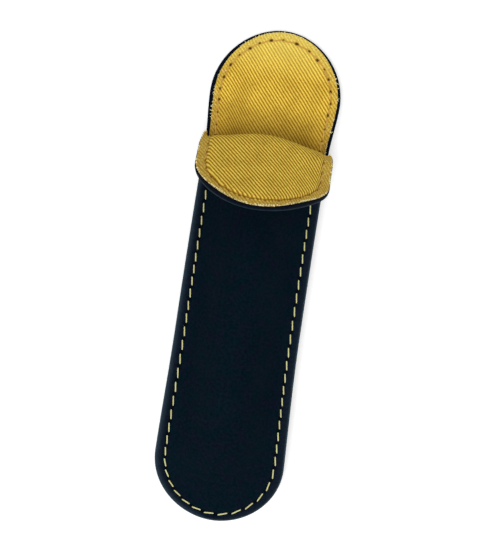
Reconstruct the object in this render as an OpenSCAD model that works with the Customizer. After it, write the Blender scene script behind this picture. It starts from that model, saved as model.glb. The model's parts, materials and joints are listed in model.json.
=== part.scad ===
// A leather sleeve for one pen. A back panel runs on past the mouth as a
// tongue, and the front panel folds back over the mouth as a flap. Both are
// lined with twill and stitched together round their edge.
// It lies on its back: +X across, +Y towards the tongue's tip, +Z up. The
// origin is under the middle of its length, on the surface it lies on.

/* [Sleeve] */
// Width of the sleeve, laid flat
sleeve_w = 45.5; // [38:0.5:60]
// Length from the bottom end to the corners of the mouth
pocket_l = 130.5; // [100:0.5:160]
// Length of the tongue past the corners of the mouth
tongue_l = 42.5; // [32:0.5:60]
// Length of the rounded bottom end
bottom_round_l = 21.3; // [16:0.1:30]
// Length of the rounded tongue end
tongue_round_l = 23.9; // [16:0.1:28]
// Squareness of both rounded ends, where 2 is an ellipse
end_power = 1.95; // [1.8:0.05:2.6]

/* [Hollow] */
// Height of the hollow for the pen
hollow_h = 13; // [9:0.5:18]
// Height of the seam above the hollow's floor
belly_h = 5.6; // [3:0.1:7]
// Height of the seam above the floor at the bottom end
bottom_belly_h = 1.2; // [0.6:0.1:3]
// Height of the edge above the floor at the tongue's tip
tip_belly_h = 1; // [0.6:0.1:3]
// Width of the flat strip that the sleeve rests on
rest_w = 14; // [10:0.5:20]
// Length over which the hollow swells from the bottom end
swell_l = 38; // [30:1:60]
// Distance that each side is drawn in where the hollow is full
draw_in = 1; // [0:0.1:2]
// Breadth of the front's crown, where 1 is a plain bell curve
crown_power = 1.1; // [1:0.05:1.6]

/* [Layers] */
// Thickness of the leather
leather_t = 1.2; // [0.8:0.1:1.6]
// Thickness of the interlining
interlining_t = 0.5; // [0.3:0.1:1]
// Thickness of the twill lining
lining_t = 0.5; // [0.3:0.1:0.8]
// Width of bare leather round the lining
lining_margin = 1.2; // [0.6:0.1:1.8]
// Distance from the edge to the interlining
seam_allowance = 4.8; // [4.4:0.1:7]

/* [Flap] */
// How much further than the sleeve the flap reaches on each side
flap_overhang = 0.15; // [0:0.05:3]
// Length of the flap from its fold
flap_l = 32; // [28:0.5:36]
// Length of the flap's rounded end
flap_round_l = 20; // [12:0.5:24]
// Squareness of the flap's rounded end, where 2 is an ellipse
flap_power = 1.95; // [1.8:0.05:2.6]
// Angle at which the flap stands above the front
flap_lift = 42; // [30:1:60]
// Distance that the flap's sides droop at the fold
flap_droop = 2; // [0:0.1:3]
// Distance from the fold's axis back to the corners of the mouth
fold_inset = 0.6; // [0:0.1:2]
// Length of leather that bends, on each side of the fold
fold_reach = 3; // [2:0.1:5]
// How far the leather's face is pulled forward as it bends
fold_bulge = 3.2; // [2.6:0.1:4]
// How much further forward the fold is pulled over the middle of the hollow
fold_crown = 2; // [0:0.1:3]
// Gap between the flap and the front when it is folded right back
fold_gap = 0.5; // [0.3:0.1:1]

/* [Stitching] */
// Distance from the edge to the seam
seam_inset = 3.3; // [2.4:0.1:4]
// Distance from the bottom end to the seam that goes round it
bottom_inset = 2.4; // [2:0.1:4]
// Distance from one stitch to the next
stitch_pitch = 4.4; // [2.5:0.05:6]
// Length of a stitch that shows
stitch_l = 3.3; // [1.5:0.1:4]
// Thickness of the thread
thread_d = 0.6; // [0.3:0.05:0.8]
// Gap between a stitch and the face that it lies on
stitch_gap = 0.08; // [0.05:0.01:0.15]

/* [Hidden] */

leather_color = [0.06, 0.10, 0.13];
interlining_color = [0.86, 0.84, 0.78];
lining_color = [0.80, 0.66, 0.26];
thread_color = [0.88, 0.80, 0.55];

half_w = sleeve_w / 2;
total_l = pocket_l + tongue_l;
bottom_y = -total_l / 2;
tip_y = total_l / 2;
mouth_y = bottom_y + pocket_l;
bottom_round_y = bottom_y + bottom_round_l;
tongue_round_y = tip_y - tongue_round_l;
stack_t = leather_t + interlining_t + lining_t;
arch_h = hollow_h - belly_h;

// The fold's axis runs across the sleeve just above the front's crown
axis_y = mouth_y - fold_inset;
axis_z = hollow_h + 2 * stack_t + fold_gap / 2;
fold_start_y = axis_y - fold_reach;
flap_half_w = half_w + flap_overhang;
flap_round_w = flap_l - flap_round_l;
flap_tip_droop = 0.25;

// Each panel is a grid of rings inside its outline. The outermost ring is the
// edge, the next one is where the lining ends, and the next is where the
// interlining ends and the hollow begins.
inner_rings = 5;
lining_ring = inner_rings + 1;
edge_ring = inner_rings + 2;
function ring(i, half) =
    i <= inner_rings ? (1 - seam_allowance / half) * i / inner_rings
    : i == lining_ring ? 1 - lining_margin / half
    : 1;
function column(j, half) = sign(j) * ring(abs(j), half);

// Smooth step from 0 to 1
function ease(t) = let (c = min(1, max(0, t))) c * c * (3 - 2 * c);
// Bell curve from 1 at 0 to 0 at 1
function bell(t) = (1 + cos(180 * min(1, max(0, t)))) / 2;

// A point of a rounded end in shares of its half width and length. s runs
// across, t runs from the start of the round to its tip, and the larger of
// the two is the ring.
function round_point(s, t, power) =
    let (r = max(abs(s), t))
    let (a = r == 0 ? 0 : t <= abs(s) ? 45 * t / abs(s) : 90 - 45 * abs(s) / t)
    [sign(s) * r * pow(cos(a), 2 / power), r * pow(sin(a), 2 / power)];

// How full the hollow is at a place along the sleeve
function fullness(y) =
    ease((y - bottom_y) / swell_l) * (1 - ease((y - mouth_y) / (tongue_round_y - mouth_y)));
function side_x(y) = half_w - draw_in * fullness(y);

// Share of the way from the middle of a panel to its edge
function reach(x, y) =
    let (bottom = max(0, bottom_round_y - y) / bottom_round_l)
    let (tongue = max(0, y - tongue_round_y) / tongue_round_l)
    pow(pow(abs(x) / side_x(y), end_power) + pow(bottom, end_power)
        + pow(tongue, end_power), 1 / end_power);

// Height of the seam's middle plane
function belly_at(y) =
    y < mouth_y
    ? bottom_belly_h + (belly_h - bottom_belly_h) * ease((y - bottom_y) / swell_l)
    : belly_h + (tip_belly_h - belly_h) * ease((y - mouth_y) / tongue_l);
function seam_z(y) = stack_t + belly_at(y);

// Inner face of the back, which is the hollow's floor, and of the front
hollow_half_w = half_w - seam_allowance;
function floor_z(x, y) =
    let (from_middle = reach(x, y) * half_w - rest_w / 2)
    seam_z(y) - belly_at(y) * bell(from_middle / (hollow_half_w - rest_w / 2));
function roof_z(x, y) =
    let (t = min(1, reach(x, y) * half_w / hollow_half_w))
    let (rise = ease((y - bottom_y - seam_allowance) / swell_l))
    seam_z(y) + arch_h * rise * bell(pow(t, crown_power));

// A point at a depth behind the inner face, square to it. side is -1 for the
// back and 1 for the front.
slope_step = 0.02;
function face_z(side, x, y) = side < 0 ? floor_z(x, y) : roof_z(x, y);
function panel_point(side, x, y, depth) =
    let (d = slope_step)
    let (zx = (face_z(side, x + d, y) - face_z(side, x - d, y)) / (2 * d))
    let (zy = (face_z(side, x, y + d) - face_z(side, x, y - d)) / (2 * d))
    let (len = sqrt(zx * zx + zy * zy + 1))
    [x, y, face_z(side, x, y)] + side * depth / len * [-zx, -zy, 1];

// Depths of each layer's two faces behind the inner face, on a given ring
function lining_depth(face, i) = face * lining_t;
function interlining_depth(face, i) = lining_t + face * interlining_t;
function leather_depth(face, i) =
    (i <= inner_rings ? lining_t + interlining_t : i == lining_ring ? lining_t : 0)
    + face * leather_t;

// Rows of a panel from its bottom end: rings of the round, then straight rows
swell_rows = 5;
pocket_rows = 6;
tongue_rows = 5;
shortest_run = 1;
swell_end_y = max(bottom_y + swell_l, bottom_round_y + shortest_run);
function steps(from, to, count) = [for (k = [1:count]) from + (to - from) * k / count];
pocket_ys = concat([bottom_round_y], steps(bottom_round_y, swell_end_y, swell_rows),
    steps(swell_end_y, fold_start_y, pocket_rows));
tongue_ys = steps(fold_start_y, tongue_round_y, tongue_rows);

function bottom_round_row(side, depth, face, rings, k) =
    [for (j = [-rings:rings])
        let (p = round_point(column(j, half_w), ring(k, half_w), end_power))
        let (y = bottom_round_y - p[1] * bottom_round_l)
        panel_point(side, p[0] * side_x(y), y, depth(face, max(abs(j), k)))];
function straight_row(side, depth, face, rings, y) =
    [for (j = [-rings:rings])
        panel_point(side, column(j, half_w) * side_x(y), y, depth(face, abs(j)))];
function tongue_round_row(side, depth, face, rings, k) =
    [for (j = [-rings:rings])
        let (p = round_point(column(j, half_w), ring(k, half_w), end_power))
        let (y = tongue_round_y + p[1] * tongue_round_l)
        panel_point(side, p[0] * side_x(y), y, depth(face, max(abs(j), k)))];
function front_grid(depth, face, rings) = concat(
    [for (k = [rings:-1:1]) bottom_round_row(1, depth, face, rings, k)],
    [for (y = pocket_ys) straight_row(1, depth, face, rings, y)]);
function back_grid(depth, face, rings) = concat(
    [for (k = [rings:-1:1]) bottom_round_row(-1, depth, face, rings, k)],
    [for (y = concat(pocket_ys, tongue_ys)) straight_row(-1, depth, face, rings, y)],
    [for (k = [1:rings]) tongue_round_row(-1, depth, face, rings, k)]);

// The flap in its own plane: u across, w away from the fold's axis and n up
// from the axis towards the lining
function flap_place(u, w, n) =
    [u, axis_y - w * cos(flap_lift) + n * sin(flap_lift),
        axis_z + w * sin(flap_lift) + n * cos(flap_lift)];
function droop_at(u, w) =
    flap_droop * pow(u / flap_half_w, 2) * (1 - (1 - flap_tip_droop) * w / flap_l);
function flap_point(u, w, height) =
    flap_place(u, w, fold_gap / 2 + height - droop_at(u, w));

// Heights of each layer's two faces above the flap's leather side
function flap_leather_height(face, i) = face * leather_t;
function flap_interlining_height(face, i) = leather_t + face * interlining_t;
function flap_lining_height(face, i) =
    leather_t + (i <= inner_rings ? interlining_t : 0) + face * lining_t;

flap_rows = 4;
flap_ws = concat([fold_reach], steps(fold_reach, flap_round_w, flap_rows));
function flap_straight_row(height, face, rings, w) =
    [for (j = [-rings:rings])
        flap_point(column(j, flap_half_w) * flap_half_w, w, height(face, abs(j)))];
function flap_round_row(height, face, rings, k) =
    [for (j = [-rings:rings])
        let (p = round_point(column(j, flap_half_w), ring(k, flap_half_w), flap_power))
        flap_point(p[0] * flap_half_w, flap_round_w + p[1] * flap_round_l,
            height(face, max(abs(j), k)))];
function flap_grid(height, face, rings) = concat(
    [for (w = flap_ws) flap_straight_row(height, face, rings, w)],
    [for (k = [1:rings]) flap_round_row(height, face, rings, k)]);

// The bend leaves the front level and comes back along the flap. Each layer is
// pulled further forward than the one inside it, and less so at the corners,
// where the layers crowd together.
fold_rows = 8;
layer_growth = 1.22;
corner_crowding = 1;
function bezier(a, b, c, d, t) =
    a * pow(1 - t, 3) + b * 3 * pow(1 - t, 2) * t + c * 3 * (1 - t) * t * t + d * pow(t, 3);
function pull_at(x, outwards) =
    fold_bulge + fold_crown * bell(abs(x) / hollow_half_w)
    + outwards * (layer_growth - corner_crowding * pow(x / half_w, 2));
function bend_point(from, to, outwards, t) =
    let (pull = pull_at(from[0], outwards))
    bezier(from, from + [0, pull, 0],
        to + pull * [0, cos(flap_lift), -sin(flap_lift)], to, t);
function bend_grid(from_row, to_row, outwards) =
    [for (k = [0:fold_rows])
        [for (j = [0:len(from_row) - 1])
            bend_point(from_row[j], to_row[j], outwards, k / fold_rows)]];
function leather_bend(face) = bend_grid(
    straight_row(1, function(f, i) leather_depth(f, i), face, edge_ring, fold_start_y),
    flap_straight_row(function(f, i) flap_leather_height(1 - f, i), face, edge_ring, fold_reach),
    (1 - face) * leather_t);
function lining_bend(face) = bend_grid(
    straight_row(1, function(f, i) lining_depth(f, i), face, lining_ring, fold_start_y),
    flap_straight_row(function(f, i) flap_lining_height(1 - f, i), face, lining_ring, fold_reach),
    stack_t - face * lining_t);

// A closed shell between two grids of the same size. Rows run along +Y and
// each row runs along +X, with upper above lower.
module shell(upper, lower) {
    rows = len(upper);
    cols = len(upper[0]);
    count = rows * cols;
    points = [for (grid = [upper, lower], row = grid, p = row) p];
    function at(i, j) = i * cols + j;
    cells = [for (i = [0:rows - 2], j = [0:cols - 2])
        [at(i, j), at(i, j + 1), at(i + 1, j + 1), at(i + 1, j)]];
    border = concat(
        [for (j = [0:cols - 2]) [at(0, j), at(0, j + 1)]],
        [for (i = [0:rows - 2]) [at(i, cols - 1), at(i + 1, cols - 1)]],
        [for (j = [0:cols - 2]) [at(rows - 1, j + 1), at(rows - 1, j)]],
        [for (i = [0:rows - 2]) [at(i + 1, 0), at(i, 0)]]);
    faces = concat(
        [for (c = cells) [c[0], c[3], c[2]]],
        [for (c = cells) [c[0], c[2], c[1]]],
        [for (c = cells) [c[0] + count, c[2] + count, c[3] + count]],
        [for (c = cells) [c[0] + count, c[1] + count, c[2] + count]],
        [for (e = border) [e[0], e[1], e[1] + count]],
        [for (e = border) [e[0], e[1] + count, e[0] + count]]);
    polyhedron(points = points, faces = faces, convexity = 6);
}

// One stitch between two points
module stitch(from, to) {
    d = to - from;
    len = norm(d);
    translate(from)
        rotate([0, acos(d[2] / len), atan2(d[1], d[0])])
            cylinder(d = thread_d, h = len, $fn = 16);
}

// Height of a stitch's middle above the face that it lies on
stitch_lift = stitch_gap + thread_d / 2;
// How much of the interlining's thickness is under a place at a distance from
// the edge, where leather and lining close in on each other
function interlining_share(from_edge) =
    min(1, max(0, (from_edge - lining_margin) / (seam_allowance - lining_margin)));
// Middle of a stitch on a panel's leather and on its lining
function on_leather(side, x, y) =
    let (from_edge = (1 - reach(x, y)) * half_w)
    panel_point(side, x, y, leather_t + lining_t
        + interlining_t * interlining_share(from_edge) + stitch_lift);
function on_lining(side, x, y) = panel_point(side, x, y, -stitch_lift);
// Middle of a stitch on the flap's leather and on its lining
function flap_reach(u, w) =
    pow(pow(abs(u) / flap_half_w, flap_power)
        + pow(max(0, w - flap_round_w) / flap_round_l, flap_power), 1 / flap_power);
function on_flap_leather(u, w) = flap_point(u, w, -stitch_lift);
function on_flap_lining(u, w) =
    let (from_edge = (1 - flap_reach(u, w)) * flap_half_w)
    flap_point(u, w, leather_t + lining_t
        + interlining_t * interlining_share(from_edge) + stitch_lift);

// Numbers of stitches along a straight run and round an end with half axes a
// and b
function run_count(length) = floor(length / stitch_pitch);
function round_count(a, b) = round(PI * sqrt((a * a + b * b) / 2) / stitch_pitch);
// A place on a rounded line with half axes a and b, at an angle
function round_place(a, b, power, angle) =
    [a * sign(cos(angle)) * pow(abs(cos(angle)), 2 / power), b * pow(sin(angle), 2 / power)];

// Stitches along both sides between two places along the sleeve
module side_stitches(side, place, from_y, to_y) {
    count = run_count(to_y - from_y);
    step = (to_y - from_y) / count;
    share = 1 - seam_inset / half_w;
    for (k = [0:count - 1], s = [-1, 1]) {
        y0 = from_y + (k + 0.5) * step - stitch_l / 2;
        y1 = y0 + stitch_l;
        stitch(place(side, s * share * side_x(y0), y0), place(side, s * share * side_x(y1), y1));
    }
}

// Stitches round an end, which starts at start_y and is length long, up to an
// inset from its tip
module round_stitches(side, place, start_y, length, inset) {
    share = 1 - seam_inset / half_w;
    b = abs(length) - inset;
    count = round_count(share * half_w, b);
    half_angle = 90 / count * stitch_l / stitch_pitch;
    for (k = [0:count - 1]) {
        middle = 180 * (k + 0.5) / count;
        ends = [for (angle = [middle - half_angle, middle + half_angle])
            let (p = round_place(share, b, end_power, angle))
            let (y = start_y + sign(length) * p[1])
            place(side, p[0] * side_x(y), y)];
        stitch(ends[0], ends[1]);
    }
}

// Stitches round the flap
module flap_stitches(place) {
    a = flap_half_w - seam_inset;
    b = flap_round_l - seam_inset;
    from_w = fold_reach + stitch_pitch / 4;
    count = run_count(flap_round_w - from_w);
    step = (flap_round_w - from_w) / count;
    for (k = [0:count - 1], s = [-1, 1]) {
        w = from_w + (k + 0.5) * step;
        stitch(place(s * a, w - stitch_l / 2), place(s * a, w + stitch_l / 2));
    }
    end_count = round_count(a, b);
    half_angle = 90 / end_count * stitch_l / stitch_pitch;
    for (k = [0:end_count - 1]) {
        middle = 180 * (k + 0.5) / end_count;
        ends = [for (angle = [middle - half_angle, middle + half_angle])
            let (p = round_place(a, b, flap_power, angle))
            place(p[0], flap_round_w + p[1])];
        stitch(ends[0], ends[1]);
    }
}

// Outer leather of the back, with the tongue in one piece
module back_leather() {
    depth = function(f, i) leather_depth(f, i);
    color(leather_color)
        shell(back_grid(depth, 0, edge_ring), back_grid(depth, 1, edge_ring));
}

// Stiffening between the back's leather and lining
module back_interlining() {
    depth = function(f, i) interlining_depth(f, i);
    color(interlining_color)
        shell(back_grid(depth, 0, inner_rings), back_grid(depth, 1, inner_rings));
}

// Twill lining of the back and the tongue
module back_lining() {
    depth = function(f, i) lining_depth(f, i);
    color(lining_color)
        shell(back_grid(depth, 0, lining_ring), back_grid(depth, 1, lining_ring));
}

// Outer leather of the front, up to the fold
module front_leather() {
    depth = function(f, i) leather_depth(f, i);
    color(leather_color)
        shell(front_grid(depth, 1, edge_ring), front_grid(depth, 0, edge_ring));
}

// Stiffening between the front's leather and lining
module front_interlining() {
    depth = function(f, i) interlining_depth(f, i);
    color(interlining_color)
        shell(front_grid(depth, 1, inner_rings), front_grid(depth, 0, inner_rings));
}

// Twill lining of the front, up to the fold
module front_lining() {
    depth = function(f, i) lining_depth(f, i);
    color(lining_color)
        shell(front_grid(depth, 1, lining_ring), front_grid(depth, 0, lining_ring));
}

// The leather that bends between the front and the flap
module fold_leather() {
    color(leather_color)
        shell(leather_bend(1), leather_bend(0));
}

// The twill that bends over the leather, as the ridge of the fold
module fold_lining() {
    color(lining_color)
        shell(lining_bend(1), lining_bend(0));
}

// Outer leather of the flap, which lies under it while it is open
module flap_leather() {
    height = function(f, i) flap_leather_height(f, i);
    color(leather_color)
        shell(flap_grid(height, 0, edge_ring), flap_grid(height, 1, edge_ring));
}

// Stiffening between the flap's leather and lining
module flap_interlining() {
    height = function(f, i) flap_interlining_height(f, i);
    color(interlining_color)
        shell(flap_grid(height, 0, inner_rings), flap_grid(height, 1, inner_rings));
}

// Twill lining of the flap, which stands up over the interlining
module flap_lining() {
    height = function(f, i) flap_lining_height(f, i);
    color(lining_color)
        shell(flap_grid(height, 0, lining_ring), flap_grid(height, 1, lining_ring));
}

// Stitches on the front's leather, down one side, round the end and up
module seam_needle_thread() {
    place = function(side, x, y) on_leather(side, x, y);
    color(thread_color) {
        side_stitches(1, place, bottom_round_y, fold_start_y);
        round_stitches(1, place, bottom_round_y, -bottom_round_l, bottom_inset);
    }
}

// The same stitches on the back's leather
module seam_bobbin_thread() {
    place = function(side, x, y) on_leather(side, x, y);
    color(thread_color) {
        side_stitches(-1, place, bottom_round_y, fold_start_y);
        round_stitches(-1, place, bottom_round_y, -bottom_round_l, bottom_inset);
    }
}

// Stitches round the tongue, on its lining
module tongue_needle_thread() {
    place = function(side, x, y) on_lining(side, x, y);
    color(thread_color) {
        side_stitches(-1, place, mouth_y + stitch_pitch, tongue_round_y);
        round_stitches(-1, place, tongue_round_y, tongue_round_l, seam_inset);
    }
}

// Stitches round the tongue, on its leather
module tongue_bobbin_thread() {
    place = function(side, x, y) on_leather(side, x, y);
    color(thread_color) {
        side_stitches(-1, place, mouth_y, tongue_round_y);
        round_stitches(-1, place, tongue_round_y, tongue_round_l, seam_inset);
    }
}

// Stitches round the flap, on its lining
module flap_needle_thread() {
    color(thread_color)
        flap_stitches(function(u, w) on_flap_lining(u, w));
}

// Stitches round the flap, on its leather
module flap_bobbin_thread() {
    color(thread_color)
        flap_stitches(function(u, w) on_flap_leather(u, w));
}

back_leather();
back_interlining();
back_lining();
front_leather();
front_interlining();
front_lining();
fold_leather();
fold_lining();
flap_leather();
flap_interlining();
flap_lining();
seam_needle_thread();
seam_bobbin_thread();
tongue_needle_thread();
tongue_bobbin_thread();
flap_needle_thread();
flap_bobbin_thread();
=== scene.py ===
import json
import math

import bpy
import numpy as np
from bpy.props import FloatProperty, FloatVectorProperty, PointerProperty
from mathutils import Matrix, Vector


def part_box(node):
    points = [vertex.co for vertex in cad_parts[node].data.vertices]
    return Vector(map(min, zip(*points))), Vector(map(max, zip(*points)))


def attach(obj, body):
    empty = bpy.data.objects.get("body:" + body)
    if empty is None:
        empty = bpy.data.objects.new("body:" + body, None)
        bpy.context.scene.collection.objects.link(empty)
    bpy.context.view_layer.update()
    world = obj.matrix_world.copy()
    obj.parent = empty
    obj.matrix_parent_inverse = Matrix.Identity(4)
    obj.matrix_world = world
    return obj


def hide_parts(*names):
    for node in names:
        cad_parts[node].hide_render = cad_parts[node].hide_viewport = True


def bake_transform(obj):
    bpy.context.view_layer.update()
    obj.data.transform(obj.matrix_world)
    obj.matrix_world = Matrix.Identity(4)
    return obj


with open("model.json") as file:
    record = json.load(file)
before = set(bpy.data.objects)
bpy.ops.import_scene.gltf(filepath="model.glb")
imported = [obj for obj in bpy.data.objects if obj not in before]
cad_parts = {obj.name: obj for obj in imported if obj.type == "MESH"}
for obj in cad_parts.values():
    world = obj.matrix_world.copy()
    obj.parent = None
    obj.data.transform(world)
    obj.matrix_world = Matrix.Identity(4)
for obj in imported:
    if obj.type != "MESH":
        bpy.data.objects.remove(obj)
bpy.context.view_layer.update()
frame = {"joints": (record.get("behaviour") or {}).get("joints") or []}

bl_info = {
    "name": "Leather pen sleeve",
    "version": (1, 0, 0),
    "blender": (4, 5, 0),
    "location": "3D View > Sidebar > Pen sleeve",
    "description": "Builds a lined and stitched leather sleeve for one pen",
    "category": "Add Mesh",
}

# What the frame says of the sleeve: its size and the fold's axis
BACK_LOW, BACK_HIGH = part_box("back_leather")
FOLD = next(j for j in frame["joints"] if j["name"] == "flap_fold")
AXIS_Y, AXIS_Z = FOLD["pos_m"][1], FOLD["pos_m"][2]


def mm(value):
    """Millimetres in metres."""
    return value * 0.001


def size(name, value, note):
    """A length that a user may change."""
    return FloatProperty(name=name, description=note, default=mm(value), unit="LENGTH",
                         precision=5)


def angle(name, degrees, note):
    """An angle that a user may change."""
    return FloatProperty(name=name, description=note, default=math.radians(degrees),
                         subtype="ANGLE")


def share(name, value, note):
    """A plain number that a user may change."""
    return FloatProperty(name=name, description=note, default=value)


def tint(name, value, note):
    """A colour that a user may change."""
    return FloatVectorProperty(name=name, description=note, default=value, size=3,
                               subtype="COLOR_GAMMA", min=0.0, max=1.0)


class SleeveShape(bpy.types.PropertyGroup):
    """Sizes of the panels, the hollow and the layers."""
    width: FloatProperty(name="Width", description="Width of the sleeve, laid flat",
                         default=BACK_HIGH.x - BACK_LOW.x, unit="LENGTH", precision=5)
    length: FloatProperty(name="Length", description="Length of the sleeve with its tongue",
                          default=BACK_HIGH.y - BACK_LOW.y, unit="LENGTH", precision=5)
    bottom_round: size("Bottom round", 21.3, "Length of the rounded bottom end")
    tongue_round: size("Tongue round", 23.9, "Length of the rounded tongue end")
    end_power: share("End power", 1.95, "Squareness of the rounded ends, where 2 is an ellipse")
    hollow: size("Hollow", 13.0, "Height of the hollow")
    belly: size("Belly", 5.6, "Height of the seam above the hollow's floor")
    bottom_belly: size("Bottom belly", 1.2, "Height of the seam above the floor at the bottom end")
    tip_belly: size("Tip belly", 1.0, "Height of the edge above the floor at the tongue's tip")
    rest_width: size("Rest width", 14.0, "Width of the flat strip that the sleeve rests on")
    swell: size("Swell", 38.0, "Length over which the hollow swells from the bottom end")
    draw_in: size("Draw in", 1.25, "Distance that each side is drawn in where the hollow is full")
    draw_length: size("Draw length", 65.0, "Length over which the sides draw in from the bottom")
    crown_power: share("Crown power", 1.1, "Breadth of the front's crown")
    leather: size("Leather", 1.2, "Thickness of the leather")
    interlining: size("Interlining", 0.5, "Thickness of the interlining")
    lining: size("Lining", 0.5, "Thickness of the twill")
    margin: size("Margin", 1.2, "Width of bare leather round the lining")
    tip_bare: size("Tip margin", 0.4, "Width of bare leather at the tongue's tip")
    lining_shift: size("Lining shift", 0.2, "How far the tongue's lining lies right of the middle")
    allowance: size("Seam allowance", 4.8, "Distance from the edge to the interlining")
    edge_round: size("Edge rounding", 0.45, "Radius of the burnished edge")
    bow: size("Bow", 1.08, "How far the middle of the sleeve lies left of the line of its ends")
    rib_slope: angle("Rib slope", 48.8, "Angle at which the twill's ribs cross the sleeve")
    rib_pitch: size("Rib pitch", 1.01, "Distance from one rib of the twill to the next")


class SleeveFlap(bpy.types.PropertyGroup):
    """Sizes of the flap and its fold."""
    width: size("Flap width", 45.8, "Width of the flap")
    length: size("Flap length", 32.4, "Length of the flap from its fold")
    round: size("Flap round", 20.0, "Length of the flap's rounded end")
    power: share("Flap power", 1.95, "Squareness of the flap's rounded end")
    lift: angle("Lift", 42, "Angle of the flap above the front at rest")
    droop: size("Droop", 2.0, "Distance that the flap's sides droop at the fold")
    reach: size("Fold reach", 3.0, "Length of leather that bends, on each side of the fold")
    bulge: size("Fold bulge", 4.1, "How far the leather's face is pulled forward as it bends")
    crown: size("Fold crown", 2.0, "How much further the fold is pulled over the hollow")
    gap: size("Fold gap", 0.5, "Gap between the flap and the front when folded right back")
    puff: size("Puff", 0.35, "How far the twill stands up inside the flap's seam")
    turn: angle("Turn", 19, "Angle to which the flap's right side turns down")
    tip_margin: size("Tip margin", 0.7, "Width of bare leather at the flap's end")
    turn_margin: size("Corner margin", 1.0, "Width of bare leather at its corners")
    tilt: size("Tilt", 1.0, "How much further the flap reaches on its left than in its middle")
    right_out: size("Right out", 0.15, "How much wider the flap lies on its right")
    right_round: size("Right round", 1.3, "How much rounder the flap's end is on its right")
    left_round: size("Left round", 0.8, "How much rounder the flap's end is on its left")
    left_flare: size("Left flare", 6.6, "How far the fold's left corner is pulled forward")
    left_gather: size("Left gather", 1.0, "How far the fold's left corner is drawn inwards")
    right_flare: size("Right flare", 1.9, "How far the fold's right corner is pulled forward")
    rib_slope: angle("Rib slope", 52.2, "Angle at which the twill's ribs cross the flap")
    rib_pitch: size("Rib pitch", 1.06, "Distance from one rib of the flap's twill to the next")


class SleeveStitches(bpy.types.PropertyGroup):
    """Sizes of the stitching."""
    inset: size("Seam inset", 3.3, "Distance from the edge to the seam")
    left_inset: size("Left seam inset", 3.55, "Distance from the pocket's left edge to its seam")
    bottom_inset: size("Bottom inset", 2.4, "Distance from the bottom end to the seam")
    pitch: size("Pitch", 4.4, "Distance from one stitch to the next")
    thread: size("Thread", 0.42, "Thickness of the thread")
    slant: angle("Slant", -8, "Angle at which each stitch lies across the seam")
    groove: size("Groove", 0.16, "Depth to which the seam pulls the leather in")
    hole: size("Hole", 0.32, "Depth of the dimple at each needle hole")


class SleeveColours(bpy.types.PropertyGroup):
    """Colours of the finishes, as they look."""
    leather: tint("Leather", (0.004, 0.063, 0.091), "Blue-black leather")
    leather_cloud: tint("Clouded leather", (0.052, 0.042, 0.112), "Leather where it is purpler")
    leather_worn: tint("Worn leather", (0.036, 0.088, 0.112), "Leather where it is rubbed")
    sheen: tint("Sheen", (0.45, 0.75, 0.95), "Tint of the leather's faint shine")
    # Painted shade in the seam's groove and needle holes; the same colour also darkens random
    # flecks
    hole: tint("Seam groove", (0.006, 0.012, 0.02), "Leather in the seam's groove")
    # The burnished edge's own blue-grey, which also paints the sheen of light on the rounded edge
    edge: tint("Edge", (0.24, 0.31, 0.36), "Burnished edge")
    twill: tint("Twill", (0.98, 0.86, 0.35), "Ribs of the twill")
    twill_groove: tint("Twill groove", (0.68, 0.49, 0.09), "Furrows between the ribs")
    # The flap's twill is the same cloth as the tongue's; its darker colours are painted shade
    flap_twill: tint("Flap twill", (0.94, 0.83, 0.35), "Ribs of the flap's twill")
    flap_groove_shaded: tint("Flap groove", (0.53, 0.36, 0.0), "Furrows of the flap's twill")
    twill_light: tint("Twill light", (1.0, 0.93, 0.48), "Yarns that catch the light")
    twill_shade: tint("Twill shade", (0.46, 0.31, 0.06), "Yarns that lie deep")
    twill_fleck: tint("Twill fleck", (0.56, 0.28, 0.02), "Flecks deep in the furrows")
    twill_rim: tint("Twill rim", (0.66, 0.54, 0.24), "Twill outside the seam")
    # Painted shade where the twill sinks into the seam's crease
    shaded_crease: tint("Crease", (0.42, 0.28, 0.06), "Twill sunk along the seam")
    # Painted shade in the lining's needle holes
    needle_hole_shade: tint("Needle hole", (0.25, 0.13, 0.03), "Holes along the lining's seams")
    cut_edge: tint("Cut edge", (0.97, 0.94, 0.72), "Cut edge of the twill")
    thread: tint("Thread", (0.81, 0.81, 0.58), "Waxed thread")
    # The same thread as on the leather, darkened as painted shade where it sinks in the twill
    lining_thread: tint("Lining thread", (0.80, 0.63, 0.26), "Thread sunk in the twill")
    interlining: tint("Interlining", (0.86, 0.84, 0.78), "Felted stiffening")
    interlining_shade: tint("Interlining shade", (0.7014, 0.6872, 0.65), "Its deeper fibres")


class SleeveStage(bpy.types.PropertyGroup):
    """The camera and the light."""
    elevation: angle("Elevation", 88, "Camera's angle above the horizon")
    roll: angle("Roll", 8.77, "Lean of the sleeve in the picture")
    distance: size("Distance", 480.0, "Distance from the camera to the middle of the sleeve")
    shown: size("Shown", 190.6, "Height of the picture at that distance")
    centre_x: size("Centre across", -0.09, "Place of the picture's middle across the sleeve")
    centre_y: size("Centre along", -0.57, "Place of the picture's middle along the sleeve")
    floor: tint("Floor", (1.0, 1.0, 1.0), "Plain pale floor")
    floor_glow: share("Floor glow", 0.28, "Light that the floor adds where the camera sees it")
    sky: share("Sky", 0.62, "Strength of the light from all around")


GROUPS = {
    "sleeve_shape": SleeveShape,
    "sleeve_flap": SleeveFlap,
    "sleeve_stitches": SleeveStitches,
    "sleeve_colours": SleeveColours,
    "sleeve_stage": SleeveStage,
}


def shape():
    return bpy.context.scene.sleeve_shape


def flap():
    return bpy.context.scene.sleeve_flap


def stitches():
    return bpy.context.scene.sleeve_stitches


def colours():
    return bpy.context.scene.sleeve_colours


# Curves that the panels are made from. Each takes arrays of places.

# Distance from the fold's axis to the mouth
AXIS_TO_MOUTH = mm(0.6)

# Length beside the fold over which the edges change
FOLD_ZONE = mm(8)

# Shares of the droop and of the turned-down side that are gone at the flap's end
DROOP_LOST = 0.75
TURN_LOST = 0.3


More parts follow.
